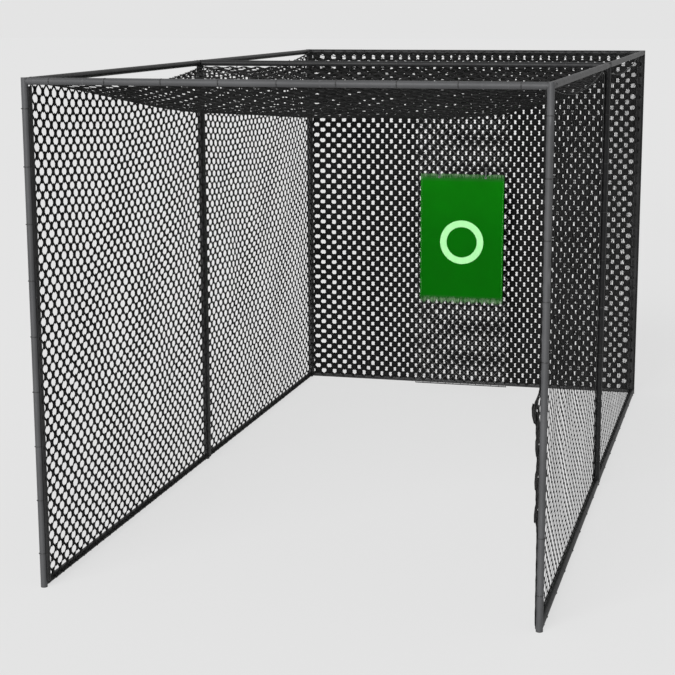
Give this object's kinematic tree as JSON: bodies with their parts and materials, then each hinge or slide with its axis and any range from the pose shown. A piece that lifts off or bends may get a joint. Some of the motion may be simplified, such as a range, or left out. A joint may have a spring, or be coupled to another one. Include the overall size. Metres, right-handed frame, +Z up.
{
  "type": "golf practice cage",
  "caption": "Walk-in golf net: a tube frame holds side, back and roof netting, and a hanging panel with a ring target faces the open front.",
  "frame": {"origin": "on the floor, under the middle of the cage", "axes": "+Z up, +X to the right seen from the open front, +Y from the open front to the back net"},
  "size_m": [3.1328, 6.2232, 3.1368],
  "materials": {
    "frame_tube": "black powder coat, satin",
    "foot": "matt black moulded plug",
    "border_rope": "black laid rope",
    "netting": "knotted black twine",
    "panel_netting": "fine grey impact mesh",
    "snap_hook": "zinc plated wire",
    "target_cloth": "green woven cloth with a pale ring"
  },
  "bodies": {
    "root": {"post_front_left": "frame_tube", "post_front_right": "frame_tube", "post_middle_left": "frame_tube", "post_middle_right": "frame_tube", "post_back_left": "frame_tube", "post_back_right": "frame_tube", "post_feet": "foot", "top_rail_front_left": "frame_tube", "top_rail_front_right": "frame_tube", "top_rail_back_left": "frame_tube", "top_rail_back_right": "frame_tube", "bottom_rail_front_left": "frame_tube", "bottom_rail_front_right": "frame_tube", "bottom_rail_back_left": "frame_tube", "bottom_rail_back_right": "frame_tube", "cross_rail_front": "frame_tube", "cross_rail_middle": "frame_tube", "cross_rail_back": "frame_tube", "seam_rope_top_left": "border_rope", "seam_rope_top_right": "border_rope", "rope_bottom_left": "border_rope", "rope_bottom_right": "border_rope", "rope_front_left": "border_rope", "rope_front_right": "border_rope", "rope_back_left": "border_rope", "rope_back_right": "border_rope", "rope_top_front": "border_rope", "rope_top_back": "border_rope", "rope_bottom_back": "border_rope", "net_left": "netting", "net_right": "netting", "net_back": "netting", "net_roof": "netting", "panel_hooks": "snap_hook"},
    "impact_panel": {"panel_net": "panel_netting", "panel_top_rope": "border_rope", "panel_weight_rope": "border_rope", "target_hooks": "snap_hook"},
    "target": {"target_sheet": "target_cloth"}
  },
  "joints": [
    {"name": "panel_swing", "type": "hinge", "parent": "root", "child": "impact_panel", "pos_m": [0, 2.7175, 2.93877], "axis": [1, 0, 0], "range_deg": [-45, 6]},
    {"name": "target_swing", "type": "hinge", "parent": "impact_panel", "child": "target", "pos_m": [0, 2.7015, 2.01934], "axis": [-1, 0, 0], "range_deg": [0, 40]}
  ]
}
